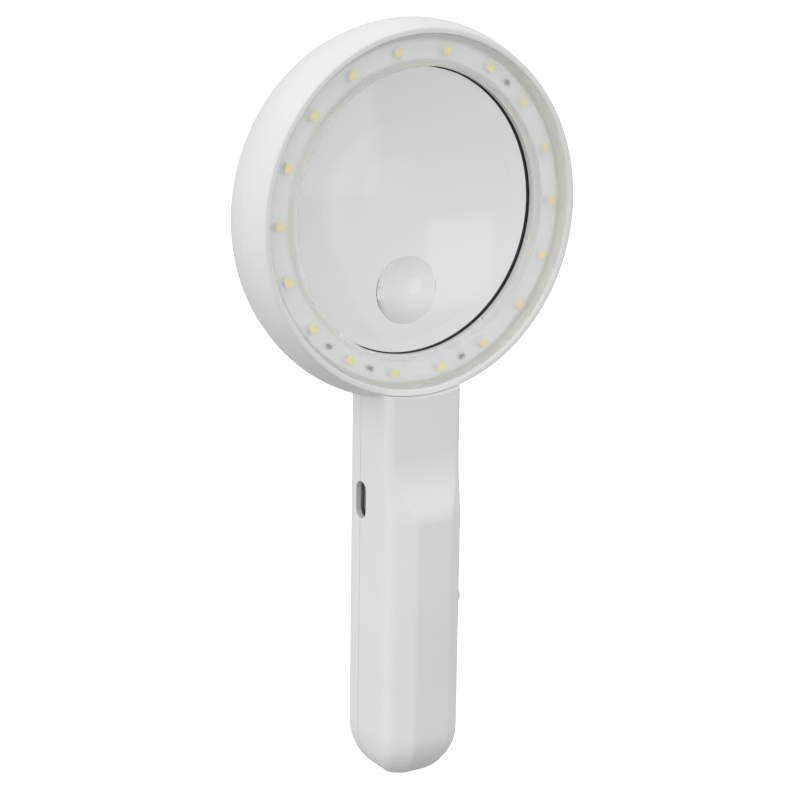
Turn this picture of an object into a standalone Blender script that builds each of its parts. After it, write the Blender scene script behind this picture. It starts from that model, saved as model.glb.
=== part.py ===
"""Handheld low vision magnifier with a ring of lights, built from its separate pieces.

Metres, +Z up.  The origin is the middle of the grip.  The lens axis runs along Y through
(0, 0, HEAD_Z): the lit side faces -Y, the flat back faces +Y, and the handle points down.
Radii called *_R are measured from the lens axis, and *_Y are planes across it.
"""
import math

import bmesh
import bpy
from mathutils import Matrix, Vector

# ---------------------------------------------------------------- driving dimensions
GAP = 0.0003                # air left between pieces that touch
WALL = 0.0022               # moulded wall of both shells
REAR_Y = 0.0170             # flat back of the head and of the handle

# head: a round frame with a barrel-shaped side wall
HEAD_Z = 0.160
HEAD_R = 0.0692             # at the widest plane
BULGE_Y = 0.0049            # the widest plane
BULGE_ARC = 0.0233          # radius of the side wall's curve, seen in section
LIP_Y = -0.0073             # crown of the front lip
LIP_IN_R = 0.0641
LIP_OUT_R = 0.0666
LIP_OUT_Y = -0.0064
HEAD_SEAM_Y = 0.0055        # where the two shells meet around the head
HANDLE_SEAM_Y = 0.0085      # where they meet down the handle
BORE_R = 0.0524             # clear view through the lens
FLARE = 0.0054              # how much wider the bore is where it opens in the back
NOTCH_ANGLE = 144.5         # small key in the bore's edge, clockwise from the top
HEAD_CAVITY_R = 0.0670
SHELF_FRONT_Y = -0.0007     # the shelf carries the light board and stops the lens
SHELF_BACK_Y = 0.0015
SEAT_IN_R = 0.0549          # low wall that centres the lens
SEAT_OUT_R = 0.0566

# lens: thick in the middle, with a small strong lens raised on its back
LENS_R = 0.0545
LENS_EDGE = 0.0030
LENS_CURVE_R = 0.0520
LENS_RISE = 0.0060
LENS_FRONT_Y = SHELF_BACK_Y + GAP
LENS_BACK_Y = LENS_FRONT_Y + LENS_EDGE
INSET_LENS_DROP = 0.0290    # below the middle of the main lens
INSET_LENS_R = 0.0125
INSET_LENS_RISE = 0.0024
INSET_LENS_ROOT = 0.0040

# lights
LED_COUNT = 18
LED_RING_R = 0.0585
LED_FACE_Y = -0.0040
LED_SIZE = (0.0035, 0.0013, 0.0028)
BOARD = 0.0014              # thickness of the light board
BOARD_IN_R = 0.0550
BOARD_OUT_R = 0.0620
RESISTOR_SIZE = (0.0020, 0.0006, 0.0013)
RESISTOR_ANGLES = (40, 160, 200, 220)     # halfway between two lights
DIFFUSER_Y = -0.0062
DIFFUSER = 0.0015
DIFFUSER_SKIRT = 0.0011

# handle: a slim neck, a slope, a deeper grip with cut-off corners and a domed end
HALF_WIDTH = 0.0164
REAR_CORNER = 0.0037
NECK = {"front": -0.0100, "flat": 0.0140, "side": -0.0078, "round": 0.0028, "soft": 0.0028}
GRIP = {"front": -0.0172, "flat": 0.0076, "side": -0.0106, "round": 0.0030, "soft": 0.0070}
HANDLE_TOP_Z = HEAD_Z - 0.060
SLOPE_TOP_Z = 0.0765
SLOPE_END_Z = 0.047
SLOPE_SCOOP = 1.7           # 1 is an even slope, more is a scoop that steepens downwards
DOME_TOP_Z = -0.0357
HANDLE_END_Z = -0.0558
DOME_POLE_Y = 0.0046        # lowest point of the domed end
DOME_OVAL = 0.50            # how far the domed end's sections turn into ellipses
DOME_WIDTH_CURVE = 2.43     # the end's outline from the front: 2 is an ellipse, more is fuller
DOME_DEPTH_CURVE = 2.03     # and from the side
CAVITY_TOP_Z = HEAD_Z - 0.072

# charging port in the left wall, made for a plug body 12.4 x 6.5 mm
PORT_Y, PORT_Z = 0.0080, 0.0526
PORT_LENGTH, PORT_WIDTH = 0.0142, 0.0066
SOCKET_LENGTH, SOCKET_WIDTH, SOCKET_DEPTH = 0.0089, 0.0032, 0.0073
SOCKET_SHEET = 0.00035
SOCKET_FACE_X = -0.0137

# push button in the right wall
BUTTON_Y, BUTTON_Z = -0.0037, 0.014
BUTTON_R = 0.0041
BUTTON_RISE = 0.0028          # of the crown over the wall
BUTTON_SIDE = 0.0014          # straight part of that
FLANGE_R = 0.0048

# things inside
CELL_X, CELL_R = -0.0035, 0.00915
CELL_BOTTOM_Z, CELL_TOP_Z = -0.034, 0.031
TAB = 0.0004                # spot-welded tabs on the cell
BOARD_FRONT_Y, BOARD_BACK_Y = 0.0049, 0.0061
BOARD_BOTTOM_Z, BOARD_TOP_Z = 0.039, 0.066
SWITCH_BOARD_X = (0.0080, 0.0092)
SWITCH_BODY_X = (0.0095, 0.0119)
PLUNGER_X = (0.0109, 0.0123)
WIRE_R = 0.0007
SCREW_SPOTS = ((-0.0105, 0.076), (0.0105, 0.076), (0.0, -0.0405))
SCREW_TIP_Y, SCREW_SEAT_Y = 0.0030, 0.0132
SCREW_R, SCREW_HEAD_R, SCREW_HEAD = 0.0013, 0.0025, 0.0018

HEAD_STEPS = 64             # facets around the head
FAR = 0.060                 # reach of cutters that only have to clear the model

ALONG_Y = (-math.pi / 2, 0, 0)      # turns an object's local Z to world +Y
ALONG_X = (0, math.pi / 2, 0)       # turns an object's local Z to world +X
HEAD_CENTRE = (0, 0, HEAD_Z)


# ---------------------------------------------------------------- scene and materials
def clear_scene():
    for obj in list(bpy.data.objects):
        bpy.data.objects.remove(obj, do_unlink=True)


def make_material(name, color, roughness, metallic=0.0, transmission=0.0):
    material = bpy.data.materials.new(name)
    material.use_nodes = True
    shader = material.node_tree.nodes["Principled BSDF"]
    shader.inputs["Base Color"].default_value = (*color, 1)
    shader.inputs["Roughness"].default_value = roughness
    shader.inputs["Metallic"].default_value = metallic
    shader.inputs["Transmission Weight"].default_value = transmission
    return material


def add_object(name, data, place=(0, 0, 0), turn=(0, 0, 0), material=None):
    obj = bpy.data.objects.new(name, data)
    obj.location = place
    obj.rotation_euler = turn
    bpy.context.collection.objects.link(obj)
    if material:
        data.materials.clear()
        data.materials.append(material)
    return obj


def finish_mesh(name, bm):
    """Turn a bmesh into a mesh that is smooth on its round stretches."""
    bmesh.ops.recalc_face_normals(bm, faces=bm.faces)
    mesh = bpy.data.meshes.new(name)
    bm.to_mesh(mesh)
    bm.free()
    mesh.shade_smooth()
    mesh.set_sharp_from_angle(angle=math.radians(32))
    return mesh


# ---------------------------------------------------------------- basic shapes
def turned_mesh(name, profile, steps):
    """Spin (radius, height) points about local Z; an end point at radius 0 closes a pole."""
    bm = bmesh.new()
    verts = [bm.verts.new((radius, 0, height)) for radius, height in profile]
    edges = [bm.edges.new(pair) for pair in zip(verts, verts[1:])]
    if profile[0][0] > 0:
        edges.append(bm.edges.new((verts[-1], verts[0])))
    bmesh.ops.spin(bm, geom=verts + edges, cent=(0, 0, 0), axis=(0, 0, 1),
                   angle=2 * math.pi, steps=steps, use_merge=True)
    bmesh.ops.remove_doubles(bm, verts=bm.verts, dist=1e-6)
    return finish_mesh(name, bm)


def add_box(bm, low, high):
    size = [top - bottom for bottom, top in zip(low, high)]
    middle = [(top + bottom) / 2 for bottom, top in zip(low, high)]
    matrix = Matrix.Translation(middle) @ Matrix.Diagonal((*size, 1))
    return bmesh.ops.create_cube(bm, size=1, matrix=matrix)["verts"]


def add_rod(bm, start, end, radius, steps=24):
    """Add a straight cylinder between two points."""
    axis = Vector(end) - Vector(start)
    turn = axis.to_track_quat("Z", "Y").to_matrix().to_4x4()
    matrix = Matrix.Translation((Vector(start) + Vector(end)) / 2) @ turn
    bmesh.ops.create_cone(bm, cap_ends=True, segments=steps, radius1=radius,
                          radius2=radius, depth=axis.length, matrix=matrix)


def box_mesh(name, low, high):
    bm = bmesh.new()
    add_box(bm, low, high)
    return finish_mesh(name, bm)


def soft_box_mesh(name, low, high, edge):
    """A box whose edges are cut back by edge."""
    bm = bmesh.new()
    add_box(bm, low, high)
    bmesh.ops.bevel(bm, geom=bm.edges, offset=edge, segments=1, affect="EDGES")
    return finish_mesh(name, bm)


def add_slot(bm, low, high, steps=5):
    """Add a bar along X whose outline across X has fully round ends."""
    verts = add_box(bm, low, high)
    along_x = {edge for vert in verts for edge in vert.link_edges
               if abs(edge.verts[0].co.x - edge.verts[1].co.x) > 1e-6}
    radius = min(high[1] - low[1], high[2] - low[2]) / 2
    bmesh.ops.bevel(bm, geom=list(along_x), offset=radius * 0.98, segments=steps,
                     profile=0.5, affect="EDGES")


def loft_mesh(name, rings):
    """Skin a stack of rings that have equal numbers of points, and cap both ends."""
    bm = bmesh.new()
    stack = [[bm.verts.new(point) for point in ring] for ring in rings]
    for lower, upper in zip(stack, stack[1:]):
        for i in range(len(lower)):
            bm.faces.new((lower[i - 1], lower[i], upper[i], upper[i - 1]))
    bm.faces.new(stack[0])
    bm.faces.new(stack[-1])
    bmesh.ops.connect_verts_nonplanar(bm, angle_limit=0.001, faces=bm.faces)
    return finish_mesh(name, bm)


def cutter(mesh, place=(0, 0, 0), turn=(0, 0, 0)):
    """Wrap a mesh in a hidden object that only shapes other objects."""
    obj = add_object(mesh.name, mesh, place, turn)
    obj.hide_render = True
    obj.display_type = "WIRE"
    return obj


def combine(obj, operation, other):
    """Add a Boolean modifier: operation is UNION, DIFFERENCE or INTERSECT."""
    modifier = obj.modifiers.new(other.name, "BOOLEAN")
    modifier.operation = operation
    modifier.object = other


# ---------------------------------------------------------------- handle outline
def smooth_share(share):
    share = min(max(share, 0.0), 1.0)
    return share * share * (3 - 2 * share)


def handle_shape(z):
    """Blend the neck's section into the grip's at height z."""
    down = min(max((SLOPE_TOP_Z - z) / (SLOPE_TOP_Z - SLOPE_END_Z), 0), 1)
    share = smooth_share(down ** SLOPE_SCOOP)
    return {key: NECK[key] + (GRIP[key] - NECK[key]) * share for key in NECK}


def inset_corners(corners, depth):
    """Move every edge of a convex anticlockwise outline inwards by depth."""
    moved = []
    for i, corner in enumerate(corners):
        before = (corner - corners[i - 1]).normalized()
        after = (corners[(i + 1) % len(corners)] - corner).normalized()
        inward = Vector((-before.y, before.x))
        middle = (inward + Vector((-after.y, after.x))).normalized()
        moved.append(corner + middle * (depth / middle.dot(inward)))
    return moved


def rounded_outline(corners, radii, steps=3):
    """Points of a convex anticlockwise outline with an arc at each corner."""
    points = []
    for i, (corner, radius) in enumerate(zip(corners, radii)):
        back = (corners[i - 1] - corner).normalized()
        ahead = (corners[(i + 1) % len(corners)] - corner).normalized()
        half = back.angle(ahead) / 2
        centre = corner + (back + ahead).normalized() * (radius / math.sin(half))
        start = corner + back * (radius / math.tan(half)) - centre
        for step in range(steps + 1):
            angle = (math.pi - 2 * half) * step / steps
            points.append(centre + Matrix.Rotation(angle, 2) @ start)
    return points


def handle_outline(z, inset):
    """The handle's section at height z, inset from its skin, and the section's middle."""
    shape = handle_shape(z)
    right = [(shape["flat"], shape["front"]), (HALF_WIDTH, shape["side"]), (HALF_WIDTH, REAR_Y)]
    left = [(-x, y) for x, y in reversed(right)]
    corners = inset_corners([Vector(point) for point in right + left], inset)
    radii = [shape["round"], shape["soft"], REAR_CORNER]
    radii = [max(radius - inset, 0.0004) for radius in radii + radii[::-1]]
    return rounded_outline(corners, radii), Vector((0, (shape["front"] + REAR_Y) / 2))


def handle_ring(z, inset):
    return [(point.x, point.y, z) for point in handle_outline(z, inset)[0]]


def dome_ring(angle, inset):
    """A section of the domed end: it shrinks and turns oval as the angle nears a right angle."""
    outline, middle = handle_outline(DOME_TOP_Z, inset)
    half_width, half_depth = HALF_WIDTH - inset, REAR_Y - middle.y - inset
    oval_share = DOME_OVAL * smooth_share(angle / math.radians(87))
    height = DOME_TOP_Z - (DOME_TOP_Z - HANDLE_END_Z - inset) * math.sin(angle)
    down = math.sin(angle)
    width = (1 - down ** DOME_WIDTH_CURVE) ** (1 / DOME_WIDTH_CURVE)
    depth = (1 - down ** DOME_DEPTH_CURVE) ** (1 / DOME_DEPTH_CURVE)
    ring = []
    for point in outline:
        arm = point - middle
        reach = math.hypot(arm.x / half_width, arm.y / half_depth)
        skin = middle + arm * (1 + (1 / reach - 1) * oval_share)
        ring.append((skin.x * width, DOME_POLE_Y + (skin.y - DOME_POLE_Y) * depth, height))
    return ring


def handle_mesh(name, inset, top_z, slope_steps=6):
    """The handle as one closed solid, inset by a distance from its outer skin.

    Its back half is straight, so a piece cut from that half does without slope steps.
    """
    slope = [SLOPE_TOP_Z + (SLOPE_END_Z - SLOPE_TOP_Z) * step / slope_steps
             for step in range(slope_steps + 1)] if slope_steps else []
    rings = [handle_ring(z, inset) for z in [top_z, *slope, DOME_TOP_Z]]
    rings += [dome_ring(math.radians(angle), inset) for angle in (14, 28, 41, 54, 67, 77, 85)]
    return loft_mesh(name, rings)


# ---------------------------------------------------------------- head outline
def barrel(y):
    """Outer radius of the head's side wall at the plane y."""
    return HEAD_R - BULGE_ARC + math.sqrt(BULGE_ARC ** 2 - (y - BULGE_Y) ** 2)


def barrel_points(start, end, steps):
    planes = [start + (end - start) * step / steps for step in range(steps + 1)]
    return [(barrel(y), y) for y in planes]


def front_ring_profile():
    """Lip, side wall, back cavity, lens seat and the shelf behind the lights."""
    lip = [(LIP_IN_R, SHELF_FRONT_Y), (LIP_IN_R, LIP_Y + 0.0005), (LIP_IN_R + 0.0005, LIP_Y),
           (LIP_OUT_R - 0.0008, LIP_Y), (LIP_OUT_R - 0.0002, LIP_Y + 0.0003)]
    inside = [(HEAD_CAVITY_R, HEAD_SEAM_Y), (HEAD_CAVITY_R, SHELF_BACK_Y),
              (SEAT_OUT_R, SHELF_BACK_Y), (SEAT_OUT_R, LENS_BACK_Y - 0.0001),
              (SEAT_IN_R, LENS_BACK_Y - 0.0001), (SEAT_IN_R, SHELF_BACK_Y),
              (BORE_R, SHELF_BACK_Y), (BORE_R, SHELF_FRONT_Y)]
    return lip + barrel_points(LIP_OUT_Y, HEAD_SEAM_Y, 6) + inside


def rear_ring_profile():
    """Side wall, rounded back edge, flat back, flared bore and the collar that holds the lens."""
    collar_y = LENS_BACK_Y + GAP
    wide_r = BORE_R + FLARE
    back = [(0.0668, REAR_Y - 0.0012), (0.0661, REAR_Y - 0.0004), (0.0650, REAR_Y),
            (wide_r + 0.0010, REAR_Y), (wide_r, REAR_Y - 0.0008)]
    collar = [(BORE_R, collar_y + 0.0006), (BORE_R, collar_y), (SEAT_IN_R, collar_y),
              (wide_r + WALL, REAR_Y - WALL), (HEAD_CAVITY_R - 0.0022, REAR_Y - WALL),
              (HEAD_CAVITY_R, REAR_Y - 0.0075), (HEAD_CAVITY_R, HEAD_SEAM_Y + GAP)]
    return barrel_points(HEAD_SEAM_Y + GAP, REAR_Y - 0.0022, 6) + back + collar


def neck_cutter():
    """Ends the handle inside the head's walls, and at the lip where it stands out in front."""
    profile = [(0, -FAR / 2), (LIP_OUT_R + 0.0010, -FAR / 2), (LIP_OUT_R, LIP_OUT_Y),
               (0.0660, LIP_OUT_Y + 0.0005), (0.0660, -0.0010), (0.0680, SHELF_BACK_Y),
               (0.0680, 0.0090), (0.0660, 0.0135), (0.0650, 0.0152), (0.0600, 0.0156),
               (0.0600, FAR), (0, FAR)]
    return cutter(turned_mesh("neck_cutter", profile, HEAD_STEPS), HEAD_CENTRE, ALONG_Y)


def head_point(angle, radius, y):
    """A point on the head, at an angle clockwise from the top as seen from the lit side."""
    turn = math.radians(angle)
    return Vector((radius * math.sin(turn), y, HEAD_Z + radius * math.cos(turn)))


# ---------------------------------------------------------------- shells
def front_rib_cutter(limit):
    """Cell cradles, switch and board posts and screw bosses, trimmed to the handle's skin."""
    bm = bmesh.new()
    for z in (-0.024, -0.002):
        add_box(bm, (-FAR, -FAR, z - 0.0008), (FAR, -0.0006, z + 0.0008))
    for z in (0.0045, 0.0235):
        add_box(bm, (0.0065, -FAR, z - 0.0015), (0.0107, -0.0020, z + 0.0015))
    for x in (-0.0080, 0.0080):
        add_box(bm, (x - 0.0010, -FAR, 0.0603), (x + 0.0010, BOARD_FRONT_Y - GAP, 0.0633))
        add_box(bm, (x - 0.0010, -FAR, 0.0445), (x + 0.0010, BOARD_FRONT_Y - GAP, 0.0475))
    for x, z in SCREW_SPOTS:
        add_rod(bm, (x, -0.030, z), (x, HANDLE_SEAM_Y - GAP, z), 0.0032)
    ribs = cutter(finish_mesh("front_ribs", bm))
    combine(ribs, "INTERSECT", limit)
    return ribs


def rear_rib_cutter(limit):
    """Cell clamps and screw bosses of the rear shell."""
    bm = bmesh.new()
    for z in (-0.024, -0.002):
        add_box(bm, (-0.0130, 0.0030, z - 0.0008), (0.0050, FAR, z + 0.0008))
    for x, z in SCREW_SPOTS:
        add_rod(bm, (x, HANDLE_SEAM_Y + GAP, z), (x, 0.030, z), 0.0040)
    ribs = cutter(finish_mesh("rear_ribs", bm))
    combine(ribs, "INTERSECT", limit)
    return ribs


def shared_openings(bm):
    """Openings that cut both shells: wire tunnel, charging port and room for the cell."""
    add_box(bm, (-0.0070, 0.0025, HEAD_Z - 0.073), (0.0070, 0.0130, HEAD_Z - 0.062))
    add_slot(bm, (-FAR, PORT_Y - PORT_WIDTH / 2, PORT_Z - PORT_LENGTH / 2),
             (SOCKET_FACE_X + GAP, PORT_Y + PORT_WIDTH / 2, PORT_Z + PORT_LENGTH / 2))
    add_rod(bm, (CELL_X, 0, CELL_BOTTOM_Z - GAP), (CELL_X, 0, CELL_TOP_Z + GAP), CELL_R + GAP, 32)


def front_openings():
    bm = bmesh.new()
    shared_openings(bm)
    add_box(bm, (SWITCH_BOARD_X[0] - GAP, -0.0113, 0.0042), (SWITCH_BOARD_X[1] + GAP, 0.0030, 0.0238))
    add_rod(bm, (0.0125, BUTTON_Y, BUTTON_Z), (FAR, BUTTON_Y, BUTTON_Z), BUTTON_R + GAP, 32)
    add_box(bm, (-0.0040, -0.0015, HEAD_Z - 0.0605), (0.0040, 0.0022, HEAD_Z - 0.0567))
    for x, z in SCREW_SPOTS:
        add_rod(bm, (x, SCREW_TIP_Y - GAP, z), (x, HANDLE_SEAM_Y + GAP, z), SCREW_R + GAP, 16)
    notch = add_box(bm, (-0.0009, -0.0015, -0.0013), (0.0009, 0.0010, 0.0013))
    turn = Matrix.Rotation(math.radians(NOTCH_ANGLE), 4, "Y")
    spot = Matrix.Translation(head_point(NOTCH_ANGLE, BORE_R, 0)) @ turn
    bmesh.ops.transform(bm, matrix=spot, verts=notch)
    return cutter(finish_mesh("front_openings", bm))


def rear_openings():
    bm = bmesh.new()
    shared_openings(bm)
    for x, z in SCREW_SPOTS:
        add_rod(bm, (x, 0, z), (x, SCREW_SEAT_Y, z), SCREW_R + GAP, 16)
    wells = bmesh.new()
    for x, z in SCREW_SPOTS:
        add_rod(wells, (x, SCREW_SEAT_Y - GAP, z), (x, FAR, z), SCREW_HEAD_R + GAP)
    return cutter(finish_mesh("rear_openings", bm)), cutter(finish_mesh("screw_wells", wells))


def build_shells(white):
    """Front and rear shells, each the head's ring and half of the handle in one moulding."""
    front_cavity = cutter(handle_mesh("front_cavity", WALL, CAVITY_TOP_Z))
    rear_cavity = cutter(handle_mesh("rear_cavity", WALL, CAVITY_TOP_Z, slope_steps=0))
    front_limit = cutter(handle_mesh("front_limit", WALL / 2, CAVITY_TOP_Z + WALL / 2))
    rear_limit = cutter(handle_mesh("rear_limit", WALL / 2, CAVITY_TOP_Z + WALL / 2, slope_steps=0))
    head_end = neck_cutter()
    behind = cutter(box_mesh("behind_seam", (-FAR, HANDLE_SEAM_Y, -FAR), (FAR, FAR, 4 * FAR)))
    ahead = cutter(box_mesh("ahead_of_seam", (-FAR, -FAR, -FAR),
                            (FAR, HANDLE_SEAM_Y + GAP, 4 * FAR)))
    step = [(0, HEAD_SEAM_Y), (HEAD_R + GAP, HEAD_SEAM_Y), (HEAD_R + GAP, FAR), (0, FAR)]
    seam_step = cutter(turned_mesh("seam_step", step, HEAD_STEPS), HEAD_CENTRE, ALONG_Y)
    front_ring = cutter(turned_mesh("front_ring", front_ring_profile(), HEAD_STEPS),
                        HEAD_CENTRE, ALONG_Y)
    rear_ring = cutter(turned_mesh("rear_ring", rear_ring_profile(), HEAD_STEPS),
                       HEAD_CENTRE, ALONG_Y)

    front = add_object("front_shell", handle_mesh("front_shell", 0, HANDLE_TOP_Z), material=white)
    combine(front, "DIFFERENCE", front_cavity)
    combine(front, "UNION", front_rib_cutter(front_limit))
    combine(front, "DIFFERENCE", behind)
    combine(front, "DIFFERENCE", head_end)
    combine(front, "DIFFERENCE", seam_step)
    combine(front, "UNION", front_ring)
    combine(front, "DIFFERENCE", front_openings())

    rear = add_object("rear_shell", handle_mesh("rear_shell", 0, HANDLE_TOP_Z, slope_steps=0),
                      material=white)
    combine(rear, "DIFFERENCE", rear_cavity)
    combine(rear, "UNION", rear_rib_cutter(rear_limit))
    combine(rear, "DIFFERENCE", ahead)
    combine(rear, "DIFFERENCE", head_end)
    combine(rear, "UNION", rear_ring)
    for opening in rear_openings():
        combine(rear, "DIFFERENCE", opening)


# ---------------------------------------------------------------- lens and lights
def lens_rise(radius):
    """Height of either lens surface over its edge, at a distance from the axis."""
    curve = (LENS_CURVE_R ** 2 + LENS_RISE ** 2) / (2 * LENS_RISE)
    return math.sqrt(curve ** 2 - radius ** 2) - (curve - LENS_RISE)


def build_lens(clear):
    radii = [LENS_CURVE_R * step / 7 for step in range(8)]
    front = [(radius, LENS_FRONT_Y - lens_rise(radius)) for radius in radii]
    back = [(radius, LENS_BACK_Y + lens_rise(radius)) for radius in reversed(radii)]
    profile = front + [(LENS_R, LENS_FRONT_Y), (LENS_R, LENS_BACK_Y)] + back
    lens = add_object("main_lens", turned_mesh("main_lens", profile, HEAD_STEPS),
                      HEAD_CENTRE, ALONG_Y, clear)
    cap = [(INSET_LENS_R * math.cos(angle), INSET_LENS_RISE * math.sin(angle))
           for angle in (math.radians(degrees) for degrees in (0, 20, 40, 60, 75))]
    plug = [(0, -INSET_LENS_ROOT), (INSET_LENS_R, -INSET_LENS_ROOT), *cap, (0, INSET_LENS_RISE)]
    curve = (LENS_CURVE_R ** 2 + LENS_RISE ** 2) / (2 * LENS_RISE)
    tilt = math.asin(INSET_LENS_DROP / curve)
    foot = (0, LENS_BACK_Y + lens_rise(INSET_LENS_DROP), HEAD_Z - INSET_LENS_DROP)
    raised = cutter(turned_mesh("inset_lens", plug, 32), foot, (-math.pi / 2 - tilt, 0, 0))
    combine(lens, "UNION", raised)


def build_lights(materials):
    """Light board, its lights and resistors, and the frosted cover in front of them."""
    back = SHELF_FRONT_Y - GAP
    front = back - BOARD
    ring = [(BOARD_IN_R, front), (BOARD_OUT_R, front), (BOARD_OUT_R, back), (BOARD_IN_R, back)]
    add_object("led_board", turned_mesh("led_board", ring, HEAD_STEPS), HEAD_CENTRE, ALONG_Y,
               materials["white_board"])
    half = [side / 2 for side in LED_SIZE]
    chip = soft_box_mesh("led", [-side for side in half], half, 0.0002)
    for index in range(LED_COUNT):
        angle = 360 / LED_COUNT * (index + 0.5)
        add_object(f"led_{index + 1:02d}", chip,
                   head_point(angle, LED_RING_R, LED_FACE_Y + half[1]),
                   (0, math.radians(angle), 0), materials["led"])
    half = [side / 2 for side in RESISTOR_SIZE]
    block = box_mesh("resistor", [-side for side in half], half)
    for index, angle in enumerate(RESISTOR_ANGLES):
        add_object(f"resistor_{index + 1}", block,
                   head_point(angle, LED_RING_R, front - GAP - half[1]),
                   (0, math.radians(angle), 0), materials["black"])
    inner, outer = BORE_R + 0.0002, LIP_IN_R - GAP
    under, foot = DIFFUSER_Y + DIFFUSER, SHELF_FRONT_Y - GAP
    cover = [(inner, DIFFUSER_Y + 0.0003), (inner + 0.0003, DIFFUSER_Y), (outer - 0.0003, DIFFUSER_Y),
             (outer, DIFFUSER_Y + 0.0003), (outer, foot), (outer - DIFFUSER_SKIRT, foot),
             (outer - DIFFUSER_SKIRT, under), (inner + DIFFUSER_SKIRT, under),
             (inner + DIFFUSER_SKIRT, foot), (inner, foot)]
    add_object("diffuser_ring", turned_mesh("diffuser_ring", cover, HEAD_STEPS), HEAD_CENTRE, ALONG_Y,
               materials["frosted"])


# ---------------------------------------------------------------- button and switch
def build_button(materials):
    """Push button, and the tact switch on its own small board behind it."""
    flange_in, flange_out = 0.0129 - HALF_WIDTH, 0.0137 - HALF_WIDTH
    cap = [(BUTTON_R * math.cos(angle), BUTTON_SIDE + (BUTTON_RISE - BUTTON_SIDE) * math.sin(angle))
           for angle in (math.radians(degrees) for degrees in (0, 22, 45, 68))]
    profile = [(0, flange_in - GAP), (0.0015, flange_in - GAP), (0.0015, flange_in),
               (FLANGE_R, flange_in), (FLANGE_R, flange_out), (BUTTON_R, flange_out),
               *cap, (0, BUTTON_RISE)]
    add_object("power_button", turned_mesh("power_button", profile, 24),
               (HALF_WIDTH, BUTTON_Y, BUTTON_Z), ALONG_X, materials["white"])

    add_object("switch_board", box_mesh("switch_board", (SWITCH_BOARD_X[0], -0.0110, 0.0045),
                                        (SWITCH_BOARD_X[1], 0.0020, 0.0235)),
               material=materials["green_board"])
    body = soft_box_mesh("switch_body", (SWITCH_BODY_X[0], BUTTON_Y - 0.003, BUTTON_Z - 0.003),
                         (SWITCH_BODY_X[1], BUTTON_Y + 0.003, BUTTON_Z + 0.003), 0.0002)
    switch = add_object("switch_body", body, material=materials["black"])
    bm = bmesh.new()
    add_rod(bm, (0.0105, BUTTON_Y, BUTTON_Z), (0.0130, BUTTON_Y, BUTTON_Z), 0.00205)
    combine(switch, "DIFFERENCE", cutter(finish_mesh("plunger_bore", bm)))
    length = PLUNGER_X[1] - PLUNGER_X[0]
    plunger = [(0, 0), (0.00175, 0), (0.00175, length - 0.0002), (0.00155, length), (0, length)]
    add_object("switch_plunger", turned_mesh("switch_plunger", plunger, 24),
               (PLUNGER_X[0], BUTTON_Y, BUTTON_Z), ALONG_X, materials["black"])


# ---------------------------------------------------------------- power and wiring
def build_socket(materials):
    """Charging socket: a drawn metal shell, open to the left, around a plastic tongue."""
    half_width, half_length = SOCKET_WIDTH / 2, SOCKET_LENGTH / 2
    bm = bmesh.new()
    add_slot(bm, (SOCKET_FACE_X, PORT_Y - half_width, PORT_Z - half_length),
             (SOCKET_FACE_X + SOCKET_DEPTH, PORT_Y + half_width, PORT_Z + half_length))
    shell = add_object("usb_shell", finish_mesh("usb_shell", bm), material=materials["metal"])
    half_width -= SOCKET_SHEET
    half_length -= SOCKET_SHEET
    floor_x = SOCKET_FACE_X + SOCKET_DEPTH - 0.0008
    bm = bmesh.new()
    add_slot(bm, (SOCKET_FACE_X - 0.001, PORT_Y - half_width, PORT_Z - half_length),
             (floor_x, PORT_Y + half_width, PORT_Z + half_length))
    combine(shell, "DIFFERENCE", cutter(finish_mesh("socket_mouth", bm)))
    tongue = soft_box_mesh("usb_tongue", (SOCKET_FACE_X + 0.0012, PORT_Y - 0.00035, PORT_Z - 0.00335),
                           (floor_x - GAP, PORT_Y + 0.00035, PORT_Z + 0.00335), 0.0001)
    add_object("usb_tongue", tongue, material=materials["black"])


def build_power(materials):
    """Rechargeable cell with its tabs, and the charging board with its chip."""
    edge = 0.0008
    length = CELL_TOP_Z - CELL_BOTTOM_Z
    profile = [(0, 0), (CELL_R - edge, 0), (CELL_R, edge), (CELL_R, length - edge),
               (CELL_R - edge, length), (0.0030, length), (0, length)]
    add_object("battery_cell", turned_mesh("battery_cell", profile, 32), (CELL_X, 0, CELL_BOTTOM_Z),
               material=materials["cell"])
    top, bottom = CELL_TOP_Z + GAP, CELL_BOTTOM_Z - GAP - TAB
    chip_y = BOARD_BACK_Y + GAP
    for box, low, high, kind in (
            ("battery_tab_top", (CELL_X - 0.003, -0.0025, top),
             (CELL_X + 0.003, 0.0025, top + TAB), "metal"),
            ("battery_tab_bottom", (CELL_X - 0.003, 0.0010, bottom),
             (0.0082, 0.0060, bottom + TAB), "metal"),
            ("control_board", (-0.0120, BOARD_FRONT_Y, BOARD_BOTTOM_Z),
             (0.0100, BOARD_BACK_Y, BOARD_TOP_Z), "green_board"),
            ("charge_chip", (0.0010, chip_y, 0.0485), (0.0039, chip_y + 0.0011, 0.0501), "black")):
        add_object(box, box_mesh(box, low, high), material=materials[kind])


def wire(name, route, material):
    """A round insulated wire on one smooth curve through the points of its route."""
    curve = bpy.data.curves.new(name, "CURVE")
    curve.dimensions = "3D"
    curve.bevel_depth = WIRE_R
    curve.bevel_resolution = 1
    curve.resolution_u = 3
    curve.use_fill_caps = True
    spline = curve.splines.new("BEZIER")
    spline.bezier_points.add(len(route) - 1)
    for point, place in zip(spline.bezier_points, route):
        point.co = place
        point.handle_left_type = point.handle_right_type = "AUTO"
    add_object(name, curve, material=material)


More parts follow.
